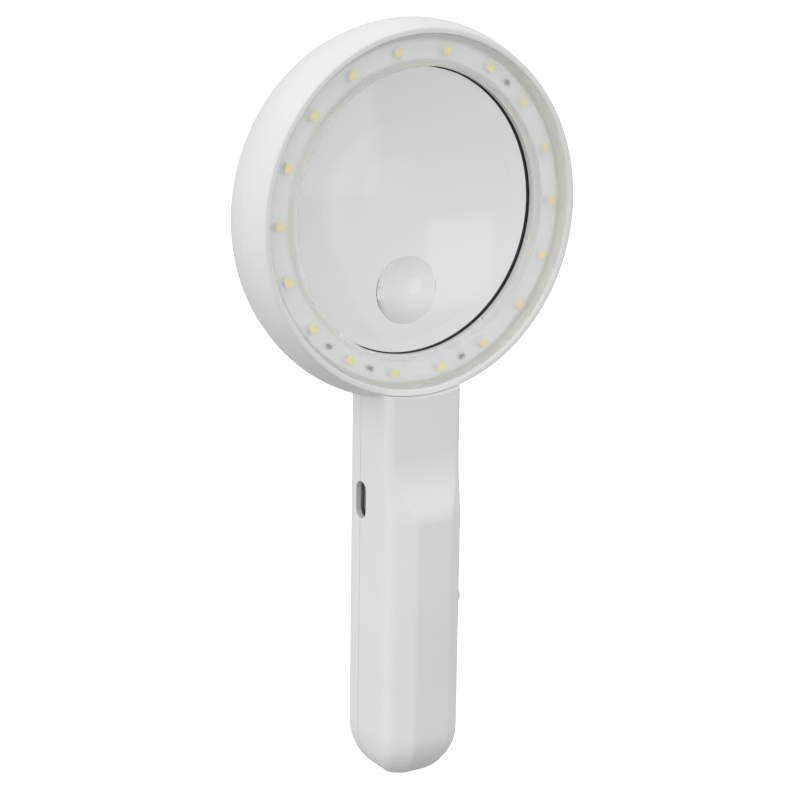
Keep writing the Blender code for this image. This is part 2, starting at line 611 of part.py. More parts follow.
def build_wires(materials):
    """Pairs from the cell and from the switch to the charging board, and up to the lights."""
    pad_y = BOARD_FRONT_Y - WIRE_R
    board_back = SHELF_FRONT_Y
    for name, x in (("led_wire_positive", -0.0016), ("led_wire_negative", 0.0016)):
        wire(name, [(x, pad_y, 0.0625), (x, 0.0022, 0.0645), (x, 0.0026, 0.0720), (x, 0.0055, 0.0840),
                    (x, 0.0072, 0.0920), (x, 0.0050, 0.0985), (x, board_back, 0.1014)],
             materials["red" if name.endswith("positive") else "black"])
    wire("battery_wire_positive", [(CELL_X, 0, CELL_TOP_Z + 0.0010), (CELL_X, 0.0003, 0.0345),
                                   (-0.0030, 0.0018, 0.0395), (-0.0030, pad_y, 0.0415)],
         materials["red"])
    wire("battery_wire_negative", [(0.0070, 0.0035, CELL_BOTTOM_Z), (0.0078, 0.0062, -0.0270),
                                   (0.0085, 0.0078, -0.0120), (0.0085, 0.0078, 0.0180),
                                   (0.0070, 0.0062, 0.0290), (0.0045, 0.0022, 0.0375),
                                   (0.0040, pad_y, 0.0405)], materials["black"])
    for name, y, z, pad_x in (("switch_wire_1", 0.0012, 0.0175, 0.0100),
                              ("switch_wire_2", -0.0007, 0.0115, 0.0072)):
        wire(name, [(SWITCH_BOARD_X[0] - WIRE_R, y, z), (0.00675, y, z + 0.0014),
                    (0.00675, y, z + 0.0060), (0.0070, y + 0.0003, 0.0310),
                    (pad_x, 0.0020, 0.0385), (pad_x, pad_y, 0.0410)], materials["black"])


def build_screws(steel):
    """Pan-head screws that pull the rear shell onto the front shell's bosses."""
    length = SCREW_SEAT_Y - SCREW_TIP_Y
    profile = [(0, 0), (SCREW_R * 0.6, 0.0006), (SCREW_R, 0.0018), (SCREW_R, length),
               (SCREW_HEAD_R, length), (SCREW_HEAD_R, length + SCREW_HEAD * 0.5),
               (SCREW_HEAD_R * 0.8, length + SCREW_HEAD * 0.9), (0, length + SCREW_HEAD)]
    mesh = turned_mesh("screw", profile, 20)
    for index, (x, z) in enumerate(SCREW_SPOTS):
        add_object(f"screw_{index + 1}", mesh, (x, SCREW_TIP_Y, z), ALONG_Y, steel)


def main():
    clear_scene()
    materials = {
        "white": make_material("white_plastic", (0.86, 0.86, 0.85), 0.35),
        "clear": make_material("clear_lens", (0.97, 0.98, 0.98), 0.03, transmission=1.0),
        "frosted": make_material("frosted_plastic", (0.72, 0.72, 0.69), 0.55, transmission=0.4),
        "white_board": make_material("white_board", (0.83, 0.86, 0.88), 0.5),
        "green_board": make_material("green_board", (0.05, 0.28, 0.13), 0.45),
        "led": make_material("led_package", (0.87, 0.84, 0.45), 0.4),
        "black": make_material("black_plastic", (0.03, 0.03, 0.03), 0.5),
        "red": make_material("red_insulation", (0.60, 0.05, 0.04), 0.5),
        "metal": make_material("plated_steel", (0.70, 0.70, 0.70), 0.3, metallic=1.0),
        "cell": make_material("cell_sleeve", (0.10, 0.22, 0.55), 0.4),
    }
    build_shells(materials["white"])
    build_lens(materials["clear"])
    build_lights(materials)
    build_button(materials)
    build_socket(materials)
    build_power(materials)
    build_wires(materials)
    build_screws(materials["metal"])


main()
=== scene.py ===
"""Low vision magnifier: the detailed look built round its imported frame.

Metres, +Z up.  The lens axis runs along Y through (0, 0, HEAD_Z), the lit side faces -Y, and the
handle points down from the head.  Radii of the head's parts are measured from the lens axis.
"""
import math

import bmesh
import bpy
from mathutils import Matrix, Vector


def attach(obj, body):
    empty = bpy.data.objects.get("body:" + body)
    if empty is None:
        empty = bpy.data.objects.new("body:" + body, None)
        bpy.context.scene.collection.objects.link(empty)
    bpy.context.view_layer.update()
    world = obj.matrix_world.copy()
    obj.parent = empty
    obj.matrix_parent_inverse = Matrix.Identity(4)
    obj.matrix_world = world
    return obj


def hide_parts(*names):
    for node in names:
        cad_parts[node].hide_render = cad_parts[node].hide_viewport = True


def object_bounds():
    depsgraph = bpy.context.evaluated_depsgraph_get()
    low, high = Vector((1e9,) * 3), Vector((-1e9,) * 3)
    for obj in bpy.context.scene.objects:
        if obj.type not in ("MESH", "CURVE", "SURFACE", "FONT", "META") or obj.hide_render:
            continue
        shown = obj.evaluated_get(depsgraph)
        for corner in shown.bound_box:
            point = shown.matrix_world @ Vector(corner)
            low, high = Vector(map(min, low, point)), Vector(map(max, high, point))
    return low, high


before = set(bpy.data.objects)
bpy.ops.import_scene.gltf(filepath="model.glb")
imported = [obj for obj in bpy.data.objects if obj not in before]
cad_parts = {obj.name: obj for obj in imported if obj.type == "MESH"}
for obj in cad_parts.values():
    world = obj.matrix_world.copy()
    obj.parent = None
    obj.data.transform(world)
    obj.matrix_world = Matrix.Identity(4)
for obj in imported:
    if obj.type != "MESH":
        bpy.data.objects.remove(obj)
cad_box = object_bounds()

# ---------------------------------------------------------------- driving dimensions
GAP = 0.0003                # clearance between separate pieces
SEAM = 0.00018              # visible parting gap between the shells
WALL = 0.0022
REAR_Y = 0.0170             # flat back of the head and the handle
FAR = 0.060                 # reach of cutters past the handle's skin
PAST = 0.001                # reach of small cutters past the face that they open

# head
HEAD_Z = 0.160
HEAD_CENTRE = Vector((0, 0, HEAD_Z))
HEAD_R = 0.06918
BULGE_Y = 0.0049            # plane where the side wall is widest
BULGE_ARC = 0.0233
HEAD_SEAM_Y = 0.0055
SEAM_EDGE_R, SEAM_EDGE_Y = 0.00018, 0.0002     # broken edges beside the head's seam
LIP_Y = -0.0073
LIP_IN_R, LIP_OUT_R = 0.0641, 0.0666
LIP_OUT_Y = -0.0064
LIP_ROUND, LIP_CROWN = 0.0006, 0.0009
LIP_CROWN_R = LIP_OUT_R - 0.0008
WALL_START_Y = LIP_OUT_Y + 0.0004
BORE_R = 0.0524
FLARE = 0.0054              # how much wider the rear bore is at the back
BORE_EDGE = 0.0010
BACK_EDGE_R, BACK_EDGE = 0.0650, 0.0020        # rounded edge of the flat back
COLLAR_EDGE = 0.0006
HEAD_CAVITY_R = 0.0670
CAVITY_SLANT_R, CAVITY_SLANT_Y = 0.0022, 0.0075
SHELF_FRONT_Y, SHELF_BACK_Y = -0.0007, 0.0015  # shelf that carries the light board
SEAT_IN_R, SEAT_OUT_R = 0.0549, 0.0566
NOTCH_ANGLE = 144.5
NOTCH_LOW, NOTCH_HIGH = (-0.0009, -0.0015, -0.0013), (0.0009, 0.0010, 0.0013)

# lens, with its small strong lens raised on the back
LENS_R = 0.0545
LENS_CURVE_R = 0.0520
LENS_PAINTED_SHADE_R = 0.0519       # outside this radius the lens is painted black: painted shade for the dark gap round its edge
LENS_RISE = 0.0060
LENS_FRONT_Y, LENS_BACK_Y = 0.0018, 0.0048
LENS_FIT = 0.0001
LENS_CURVE = (LENS_CURVE_R ** 2 + LENS_RISE ** 2) / (2 * LENS_RISE)
LENS_RINGS = 26
INSET_LENS_DROP = 0.0290    # from the main lens's axis
INSET_LENS_R = 0.0125
INSET_LENS_RISE = 0.0024
INSET_LENS_ROOT = 0.0040
INSET_LENS_RINGS = 12

# lights and frosted cover
LED_COUNT = 18
LED_RING_R = 0.0585
LED_FACE_Y = -0.0040
LED_SIZE = (0.0035, 0.0013, 0.0028)
LED_EDGE = 0.0002
PHOSPHOR_R, PHOSPHOR_DEPTH = 0.0013, 0.00025
PHOSPHOR_ZONE = 0.0004      # faces of the well lie within this depth
DIFFUSER_Y = -0.0062
DIFFUSER = 0.0015           # thickness of the cover's face
DIFFUSER_SKIRT = 0.0011
DIFFUSER_EDGE = 0.0005
DIFFUSER_IN_R = BORE_R + 0.0002
DIFFUSER_OUT_R = LIP_IN_R - 0.0001

# handle: half sections of the neck and the grip, and the radii of their corners
HALF_WIDTH = 0.0164
HANDLE_SEAM_Y = 0.0085
REAR_CORNER = 0.0037
NECK = {"front": -0.0100, "flat": 0.0140, "side": -0.0078, "round": 0.0028, "soft": 0.0028}
GRIP = {"front": -0.0172, "flat": 0.0076, "side": -0.0106, "round": 0.0030, "soft": 0.0070}
LEAST_CORNER = 0.0004
HANDLE_TOP_Z = HEAD_Z - 0.060
CAVITY_TOP_Z = HEAD_Z - 0.072
SLOPE_TOP_Z, SLOPE_END_Z = 0.0765, 0.047
SLOPE_SCOOP = 1.7           # 1 is an even slope, more is a scoop that steepens downwards
SLOPE_STEPS = 24
DOME_TOP_Z = -0.0357
HANDLE_END_Z = cad_box[0][2]
DOME_POLE_Y = 0.0046        # lowest point of the domed end
DOME_OVAL = 0.50            # how far the domed end's sections turn into ellipses
DOME_OVAL_ANGLE = math.radians(87)
DOME_WIDTH_CURVE = 2.43     # the end's outline from the front: 2 is an ellipse, more is fuller
DOME_DEPTH_CURVE = 2.03     # and from the side
NECK_END = (                # (radius, y) where the handle stops inside the head's walls
    (0.0660, LIP_OUT_Y + 0.0005), (0.0660, -0.0010), (0.0680, SHELF_BACK_Y), (0.0680, 0.0090),
    (0.0660, 0.0135), (0.0650, 0.0152), (0.0600, 0.0156), (0.0600, FAR))
LIP_CLEARANCE = 0.0010

# inside the handle
CELL_X, CELL_R = -0.0035, 0.00915
CELL_BOTTOM_Z, CELL_TOP_Z = -0.034, 0.031
CELL_RIB_ZS, HALF_RIB = (-0.024, -0.002), 0.0008
CELL_CRADLE_Y = -0.0006
CELL_CLAMP_X, CELL_CLAMP_Y = (-0.0130, 0.0050), 0.0030
SWITCH_POST_ZS, SWITCH_POST_HALF = (0.0045, 0.0235), 0.0015
SWITCH_POST_X, SWITCH_POST_Y = (0.0065, 0.0107), -0.0020
SWITCH_SLOT = ((0.0077, -0.0113, 0.0042), (0.0095, 0.0030, 0.0238))
BOARD_POST_XS, BOARD_POST_HALF = (-0.0080, 0.0080), 0.0010
BOARD_POST_ZS, BOARD_POST_Y = ((0.0603, 0.0633), (0.0445, 0.0475)), 0.0046
WIRE_TUNNEL = ((-0.0070, 0.0025, HEAD_Z - 0.073), (0.0070, 0.0130, HEAD_Z - 0.062))
BOARD_WIRE_HOLE = ((-0.0040, -0.0015, HEAD_Z - 0.0605), (0.0040, 0.0022, HEAD_Z - 0.0567))

# charging port and its socket
PORT_Y, PORT_Z = 0.0080, 0.0526
PORT_LENGTH, PORT_WIDTH = 0.0142, 0.0066
SOCKET_LENGTH, SOCKET_WIDTH, SOCKET_DEPTH = 0.0089, 0.0032, 0.0073
SOCKET_SHEET, SOCKET_FLOOR = 0.00035, 0.0008
SOCKET_FACE_X = -0.0137
TONGUE_SET_BACK = 0.0012
TONGUE_HALF_LENGTH, TONGUE_HALF_THICK = 0.00335, 0.00030
TONGUE_EDGE = 0.0001
CONTACTS, CONTACT_PITCH = 12, 0.0005
CONTACT_Y = 0.00029
CONTACT_HALF_THICK, CONTACT_HALF_WIDTH = 0.00004, 0.00012
CONTACT_ENDS = (0.0004, 0.0006)

# button
BUTTON_Y, BUTTON_Z = -0.0037, 0.014
BUTTON_R = 0.0041
BUTTON_RISE = 0.0028
BUTTON_SIDE = 0.0014
BUTTON_STEM_R, BUTTON_STEM = 0.0015, 0.0003
FLANGE_R = 0.0048
FLANGE_X = (0.0129, 0.0137)
BUTTON_HOLE_X = 0.0125

# screws and their bosses
SCREW_SPOTS = ((-0.0105, 0.076), (0.0105, 0.076), (0.0, -0.0405))
SCREW_TIP_Y, SCREW_SEAT_Y = 0.0030, 0.0132
SCREW_R, SCREW_HEAD_R, SCREW_HEAD = 0.0013, 0.0025, 0.0018
SCREW_ROOT = 0.80           # thread root as a share of the screw's radius
SCREW_POINT, THREAD_START, THREAD_END = 0.0006, 0.0018, 0.0008
THREAD_TURNS, THREAD_RISE = 14, 0.00028
HEAD_SIDE_SHARE = 0.45      # share of the head's height below its dome
RECESS_LONG, RECESS_NARROW, RECESS_DEPTH = 0.0013, 0.00028, 0.0011
FRONT_BOSS_R, REAR_BOSS_R = 0.0032, 0.0040
BOSS_REACH_Y = 0.030

HEAD_STEPS = 160
SHARP_ANGLE = math.radians(32)
ALONG_Y = (-math.pi / 2, 0, 0)
ALONG_X = (0, math.pi / 2, 0)


# ---------------------------------------------------------------- materials
def node(tree, kind, **inputs):
    """Add a shader node and set its inputs by name."""
    made = tree.nodes.new(kind)
    for name, value in inputs.items():
        made.inputs[name.replace("_", " ")].default_value = value
    return made


def noise(tree, scale, detail, roughness=0.5):
    """A noise texture fixed to the object, in cycles per metre."""
    place = tree.nodes.get("Place") or tree.nodes.new("ShaderNodeTexCoord")
    place.name = "Place"
    made = node(tree, "ShaderNodeTexNoise", Scale=scale, Detail=detail, Roughness=roughness)
    tree.links.new(place.outputs["Object"], made.inputs["Vector"])
    return made.outputs["Fac"]


def remap(tree, source, low, high):
    """Stretch the middle of a 0 to 1 pattern between two values."""
    made = node(tree, "ShaderNodeMapRange", From_Min=0.3, From_Max=0.7, To_Min=low, To_Max=high)
    tree.links.new(source, made.inputs["Value"])
    return made.outputs["Result"]


def blend_colors(tree, share, first, second):
    """Mix two colours by a 0 to 1 pattern."""
    made = tree.nodes.new("ShaderNodeMix")
    made.data_type = "RGBA"
    made.inputs["A"].default_value = (*first, 1)
    made.inputs["B"].default_value = (*second, 1)
    tree.links.new(share, made.inputs["Factor"])
    return made.outputs["Result"]


def bump(tree, source, depth):
    """Raise the surface by depth metres where the pattern is 1."""
    made = node(tree, "ShaderNodeBump", Strength=1.0, Distance=depth)
    tree.links.new(source, made.inputs["Height"])
    return made.outputs["Normal"]


PATCH_SCALE = 2.7           # scale of the roughness patches over the colour's mottling


def finish(name, color, worn, rough, tone_scale, grain_scale=1500.0, grain=1.5e-6, **sockets):
    """A procedural material: mottled colour, varying roughness and fine surface grain."""
    material = bpy.data.materials.new(name)
    material.use_nodes = True
    tree = material.node_tree
    shader = tree.nodes["Principled BSDF"]
    tone = noise(tree, tone_scale, detail=4.0)
    tree.links.new(blend_colors(tree, remap(tree, tone, 0, 1), color, worn),
                   shader.inputs["Base Color"])
    patches = noise(tree, tone_scale * PATCH_SCALE, detail=5.0, roughness=0.6)
    tree.links.new(remap(tree, patches, *rough), shader.inputs["Roughness"])
    if grain:
        fine = noise(tree, grain_scale, detail=2.0)
        tree.links.new(bump(tree, fine, grain), shader.inputs["Normal"])
    for socket, value in sockets.items():
        shader.inputs[socket.replace("_", " ")].default_value = value
    return material


def make_materials():
    """Every material: two colours, a range of roughness, and the scales of their patterns."""
    return {
        "shell": finish("shell_white", (0.868, 0.868, 0.852), (0.842, 0.842, 0.822), (0.36, 0.46),
                        tone_scale=35, grain_scale=1400, grain=2.5e-6,
                        Specular_IOR_Level=0.45, Coat_Weight=0.12, Coat_Roughness=0.28),
        "lens": finish("lens_clear", (0.965, 0.975, 0.972), (0.955, 0.968, 0.966), (0.0, 0.012),
                       tone_scale=22, grain=0, Transmission_Weight=1.0, IOR=1.49),
        # The frosted face carries a faint painted glow (its emission), which brightens it though
        # it is no lamp.
        "frost": finish("frosted_face_painted_glow", (0.94, 0.94, 0.92), (0.925, 0.925, 0.90), (0.62, 0.68),
                        tone_scale=80, grain_scale=2200, grain=3e-6,
                        Transmission_Weight=0.90, IOR=1.22,
                        Emission_Color=(1.0, 0.99, 0.94, 1), Emission_Strength=0.10),
        "cover": finish("cover_moulding", (0.96, 0.96, 0.95), (0.95, 0.95, 0.935), (0.32, 0.38),
                        tone_scale=80, grain=0, Transmission_Weight=1.0, IOR=1.22),
        "white_board": finish("white_board", (0.80, 0.83, 0.87), (0.75, 0.79, 0.84), (0.40, 0.55),
                              tone_scale=260, grain_scale=2600),
        "green_board": finish("green_board", (0.03, 0.22, 0.10), (0.05, 0.30, 0.14), (0.30, 0.45),
                              tone_scale=420, grain_scale=2600),
        "package": finish("light_package", (0.86, 0.86, 0.80), (0.80, 0.80, 0.73), (0.35, 0.5),
                          tone_scale=900, grain_scale=5000),
        "phosphor": finish("light_phosphor", (0.97, 0.88, 0.36), (0.93, 0.82, 0.30), (0.35, 0.6),
                           tone_scale=1500, grain_scale=6000, grain=4e-6),
        "black": finish("black_plastic", (0.022, 0.022, 0.024), (0.035, 0.035, 0.036), (0.4, 0.6),
                        tone_scale=500, grain_scale=3500),
        "resistor": finish("resistor_body", (0.07, 0.075, 0.08), (0.11, 0.115, 0.12), (0.3, 0.5),
                           tone_scale=900, grain_scale=5000),
        "gold": finish("contact_gold", (0.85, 0.60, 0.25), (0.78, 0.53, 0.21), (0.18, 0.35),
                       tone_scale=1500, grain_scale=6000, Metallic=1.0),
        "nickel": finish("plated_nickel", (0.66, 0.65, 0.63), (0.56, 0.55, 0.53), (0.22, 0.42),
                         tone_scale=700, grain_scale=5000, Metallic=1.0),
        "steel": finish("screw_steel", (0.55, 0.55, 0.56), (0.44, 0.44, 0.45), (0.28, 0.5),
                        tone_scale=900, grain_scale=4500, grain=3e-6, Metallic=1.0),
        "sleeve": finish("cell_sleeve", (0.05, 0.13, 0.42), (0.07, 0.17, 0.50), (0.22, 0.4),
                         tone_scale=120, grain_scale=1800),
        "red": finish("red_insulation", (0.55, 0.035, 0.03), (0.44, 0.03, 0.025), (0.4, 0.6),
                      tone_scale=600, grain_scale=3500),
        "dark": finish("black_insulation", (0.03, 0.03, 0.03), (0.045, 0.045, 0.045), (0.4, 0.6),
                       tone_scale=600, grain_scale=3500),
    }


# ---------------------------------------------------------------- mesh helpers
def add_object(name, data, place=(0, 0, 0), turn=(0, 0, 0)):
    """An object for the data, linked to the scene."""
    obj = bpy.data.objects.new(name, data)
    obj.location = place
    obj.rotation_euler = turn
    bpy.context.scene.collection.objects.link(obj)
    return obj


def finish_mesh(name, bm):
    """Turn a bmesh into a mesh that is smooth on its round stretches."""
    bmesh.ops.recalc_face_normals(bm, faces=bm.faces)
    mesh = bpy.data.meshes.new(name)
    bm.to_mesh(mesh)
    bm.free()
    mesh.shade_smooth()
    mesh.set_sharp_from_angle(angle=SHARP_ANGLE)
    return mesh


def turned_mesh(name, profile, steps):
    """Spin (radius, height) points about local Z; an end point at radius 0 closes a pole."""
    bm = bmesh.new()
    verts = [bm.verts.new((radius, 0, height)) for radius, height in profile]
    edges = [bm.edges.new(pair) for pair in zip(verts, verts[1:])]
    if profile[0][0] > 0:
        edges.append(bm.edges.new((verts[-1], verts[0])))
    bmesh.ops.spin(bm, geom=verts + edges, cent=(0, 0, 0), axis=(0, 0, 1),
                   angle=2 * math.pi, steps=steps, use_merge=True)
    bmesh.ops.remove_doubles(bm, verts=bm.verts, dist=1e-6)
    return finish_mesh(name, bm)


def add_box(bm, low, high):
    """Add a box between two corners to bm; its vertices are returned."""
    size = [top - bottom for bottom, top in zip(low, high)]
    middle = [(top + bottom) / 2 for bottom, top in zip(low, high)]
    matrix = Matrix.Translation(middle) @ Matrix.Diagonal((*size, 1))
    return bmesh.ops.create_cube(bm, size=1, matrix=matrix)["verts"]


def add_rod(bm, start, end, radius, steps=48):
    """Add a closed cylinder between two points to bm."""
    axis = Vector(end) - Vector(start)
    turn = axis.to_track_quat("Z", "Y").to_matrix().to_4x4()
    matrix = Matrix.Translation((Vector(start) + Vector(end)) / 2) @ turn
    bmesh.ops.create_cone(bm, cap_ends=True, segments=steps, radius1=radius,
                          radius2=radius, depth=axis.length, matrix=matrix)


def box_mesh(name, low, high):
    """A plain box between two corners."""
    bm = bmesh.new()
    add_box(bm, low, high)
    return finish_mesh(name, bm)


def round_edges(bm, edges, radius, steps):
    """Round edges of bm with arcs of so many steps."""
    bmesh.ops.bevel(bm, geom=edges, offset=radius, segments=steps, profile=0.5, affect="EDGES")


def add_slot(bm, low, high):
    """Add a bar along X whose outline across X has fully round ends."""
    verts = add_box(bm, low, high)
    along_x = {edge for vert in verts for edge in vert.link_edges
               if abs(edge.verts[0].co.x - edge.verts[1].co.x) > 1e-6}
    radius = min(high[1] - low[1], high[2] - low[2]) / 2
    round_edges(bm, list(along_x), radius * 0.98, 12)


def loft_mesh(name, rings):
    """Skin a stack of rings that have equal numbers of points, and cap both ends."""
    bm = bmesh.new()
    stack = [[bm.verts.new(point) for point in ring] for ring in rings]
    for lower, upper in zip(stack, stack[1:]):
        for i in range(len(lower)):
            bm.faces.new((lower[i - 1], lower[i], upper[i], upper[i - 1]))
    bm.faces.new(stack[0])
    bm.faces.new(stack[-1])
    bmesh.ops.connect_verts_nonplanar(bm, angle_limit=0.001, faces=bm.faces)
    return finish_mesh(name, bm)


def cutter(mesh, place=(0, 0, 0), turn=(0, 0, 0)):
    """A helper object for a boolean, named after its mesh."""
    return add_object(mesh.name, mesh, place, turn)


def combine(obj, operation, other):
    """Stack a boolean of another object on obj."""
    modifier = obj.modifiers.new(other.name, "BOOLEAN")
    modifier.operation = operation
    modifier.object = other


def bake_modifiers(obj):
    """Apply every modifier of obj, drop the helpers they used and smooth its round stretches."""
    helpers = [modifier.object for modifier in obj.modifiers]
    for helper in list(helpers):
        helpers += [modifier.object for modifier in helper.modifiers]
    graph = bpy.context.evaluated_depsgraph_get()
    mesh = bpy.data.meshes.new_from_object(obj.evaluated_get(graph))
    obj.modifiers.clear()
    obj.data = mesh
    for helper in set(helpers):
        bpy.data.objects.remove(helper, do_unlink=True)
    mesh.shade_smooth()
    mesh.set_sharp_from_angle(angle=SHARP_ANGLE)


def arc(centre, radius, start, end, steps):
    """Points of an arc, at angles in degrees from +radius towards +height."""
    angles = [math.radians(start + (end - start) * step / steps) for step in range(steps + 1)]
    return [(centre[0] + radius * math.cos(a), centre[1] + radius * math.sin(a)) for a in angles]


def wear(obj, material, body, *nodes, slot=None):
    """Give a piece its material, its body and the CAD nodes that it stands for."""
    obj.data.materials.clear()
    for one in material if isinstance(material, list) else [material]:
        obj.data.materials.append(one)
    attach(obj, body)
    if nodes:
        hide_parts(*nodes)
    return obj


# ---------------------------------------------------------------- handle outline
def smooth_share(share):
    """Ease a share of 0 to 1 in and out."""
    share = min(max(share, 0.0), 1.0)
    return share * share * (3 - 2 * share)


def handle_shape(z):
    """Blend the neck's section into the grip's at height z."""
    down = min(max((SLOPE_TOP_Z - z) / (SLOPE_TOP_Z - SLOPE_END_Z), 0), 1)
    share = smooth_share(down ** SLOPE_SCOOP)
    return {key: NECK[key] + (GRIP[key] - NECK[key]) * share for key in NECK}


def inset_corners(corners, depth):
    """Move every edge of a convex anticlockwise outline inwards by depth."""
    moved = []
    for i, corner in enumerate(corners):
        before = (corner - corners[i - 1]).normalized()
        after = (corners[(i + 1) % len(corners)] - corner).normalized()
        inward = Vector((-before.y, before.x))
        middle = (inward + Vector((-after.y, after.x))).normalized()
        moved.append(corner + middle * (depth / middle.dot(inward)))
    return moved


def rounded_outline(corners, radii, steps=7):
    """Points of a convex anticlockwise outline with an arc at each corner."""
    points = []
    for i, (corner, radius) in enumerate(zip(corners, radii)):
        back = (corners[i - 1] - corner).normalized()
        ahead = (corners[(i + 1) % len(corners)] - corner).normalized()
        half = back.angle(ahead) / 2
        centre = corner + (back + ahead).normalized() * (radius / math.sin(half))
        start = corner + back * (radius / math.tan(half)) - centre
        for step in range(steps + 1):
            angle = (math.pi - 2 * half) * step / steps
            points.append(centre + Matrix.Rotation(angle, 2) @ start)
    return points


def handle_outline(z, inset):
    """The handle's section at height z, inset from its skin, and the section's middle."""
    shape = handle_shape(z)
    right = [(shape["flat"], shape["front"]), (HALF_WIDTH, shape["side"]), (HALF_WIDTH, REAR_Y)]
    left = [(-x, y) for x, y in reversed(right)]
    corners = inset_corners([Vector(point) for point in right + left], inset)
    radii = [shape["round"], shape["soft"], REAR_CORNER]
    radii = [max(radius - inset, LEAST_CORNER) for radius in radii + radii[::-1]]
    return rounded_outline(corners, radii), Vector((0, (shape["front"] + REAR_Y) / 2))


def handle_ring(z, inset):
    """The handle's outline at height z as points in space."""
    return [(point.x, point.y, z) for point in handle_outline(z, inset)[0]]


def dome_ring(angle, inset):
    """A section of the domed end: it shrinks and turns oval as the angle nears a right angle."""
    outline, middle = handle_outline(DOME_TOP_Z, inset)
    half_width, half_depth = HALF_WIDTH - inset, REAR_Y - middle.y - inset
    oval_share = DOME_OVAL * smooth_share(angle / DOME_OVAL_ANGLE)
    height = DOME_TOP_Z - (DOME_TOP_Z - HANDLE_END_Z - inset) * math.sin(angle)
    down = math.sin(angle)
    width = (1 - down ** DOME_WIDTH_CURVE) ** (1 / DOME_WIDTH_CURVE)
    depth = (1 - down ** DOME_DEPTH_CURVE) ** (1 / DOME_DEPTH_CURVE)
    ring = []
    for point in outline:
        arm = point - middle
        reach = math.hypot(arm.x / half_width, arm.y / half_depth)
        skin = middle + arm * (1 + (1 / reach - 1) * oval_share)
        ring.append((skin.x * width, DOME_POLE_Y + (skin.y - DOME_POLE_Y) * depth, height))
    return ring


def handle_mesh(name, inset, top_z, slope_steps=SLOPE_STEPS):
    """The handle as one closed solid, inset by a distance from its outer skin."""
    slope = [SLOPE_TOP_Z + (SLOPE_END_Z - SLOPE_TOP_Z) * step / slope_steps
             for step in range(slope_steps + 1)] if slope_steps else []
    rings = [handle_ring(z, inset) for z in [top_z, *slope, DOME_TOP_Z]]
    rings += [dome_ring(math.radians(angle), inset) for angle in range(4, 89, 4)]
    return loft_mesh(name, rings)


# ---------------------------------------------------------------- shells
def barrel(y):
    """Outer radius of the head's side wall at the plane y."""
    return HEAD_R - BULGE_ARC + math.sqrt(BULGE_ARC ** 2 - (y - BULGE_Y) ** 2)


def barrel_points(start, end, steps):
    """Points (radius, y) down the side wall between two planes."""
    planes = [start + (end - start) * step / steps for step in range(steps + 1)]
    return [(barrel(y), y) for y in planes]


def front_ring_profile():
    """Lip, side wall, back cavity, lens seat and the shelf behind the lights."""
    lip = [(LIP_IN_R, SHELF_FRONT_Y)]
    lip += arc((LIP_IN_R + LIP_ROUND, LIP_Y + LIP_ROUND), LIP_ROUND, 180, 270, 6)
    lip += arc((LIP_CROWN_R, LIP_Y + LIP_CROWN), LIP_CROWN, 270, 315, 6)
    wall = barrel_points(WALL_START_Y, HEAD_SEAM_Y - SEAM_EDGE_Y, 16)
    edge = [(barrel(HEAD_SEAM_Y) - SEAM_EDGE_R, HEAD_SEAM_Y - SEAM / 2)]
    inside = [(HEAD_CAVITY_R, HEAD_SEAM_Y - SEAM / 2), (HEAD_CAVITY_R, SHELF_BACK_Y),
              (SEAT_OUT_R, SHELF_BACK_Y), (SEAT_OUT_R, LENS_BACK_Y - LENS_FIT),
              (SEAT_IN_R, LENS_BACK_Y - LENS_FIT), (SEAT_IN_R, SHELF_BACK_Y),
              (BORE_R, SHELF_BACK_Y), (BORE_R, SHELF_FRONT_Y)]
    return lip + wall + edge + inside


def rear_ring_profile():
    """Side wall, rounded back edge, flat back, flared bore and the collar that holds the lens."""
    collar_y = LENS_BACK_Y + GAP
    wide_r = BORE_R + FLARE
    start = HEAD_SEAM_Y + SEAM / 2
    edge = [(barrel(start) - SEAM_EDGE_R, start)]
    wall = barrel_points(start + SEAM_EDGE_Y, REAR_Y - WALL, 14)
    back = arc((BACK_EDGE_R, REAR_Y - BACK_EDGE), BACK_EDGE, 20, 90, 8)
    back += arc((wide_r + BORE_EDGE, REAR_Y - BORE_EDGE), BORE_EDGE, 90, 154, 6)
    collar = [(BORE_R, collar_y + COLLAR_EDGE), (BORE_R, collar_y), (SEAT_IN_R, collar_y),
              (wide_r + WALL, REAR_Y - WALL), (HEAD_CAVITY_R - CAVITY_SLANT_R, REAR_Y - WALL),
              (HEAD_CAVITY_R, REAR_Y - CAVITY_SLANT_Y), (HEAD_CAVITY_R, start)]
    return edge + wall + back + collar


def neck_cutter():
    """Ends the handle inside the head's walls, and at the lip where it stands out in front."""
    profile = [(0, -FAR / 2), (LIP_OUT_R + LIP_CLEARANCE, -FAR / 2), (LIP_OUT_R, LIP_OUT_Y),
               *NECK_END, (0, FAR)]
    return cutter(turned_mesh("neck_cutter", profile, HEAD_STEPS), HEAD_CENTRE, ALONG_Y)


def head_point(angle, radius, y):
    """A point on the head, at an angle clockwise from the top as seen from the lit side."""
    turn = math.radians(angle)
    return Vector((radius * math.sin(turn), y, HEAD_Z + radius * math.cos(turn)))


def shared_openings(bm):
    """Openings that cut both shells: wire tunnel, charging port and room for the cell."""
    add_box(bm, *WIRE_TUNNEL)
    add_slot(bm, (-FAR, PORT_Y - PORT_WIDTH / 2, PORT_Z - PORT_LENGTH / 2),
             (SOCKET_FACE_X + GAP, PORT_Y + PORT_WIDTH / 2, PORT_Z + PORT_LENGTH / 2))
    add_rod(bm, (CELL_X, 0, CELL_BOTTOM_Z - GAP), (CELL_X, 0, CELL_TOP_Z + GAP), CELL_R + GAP, 64)


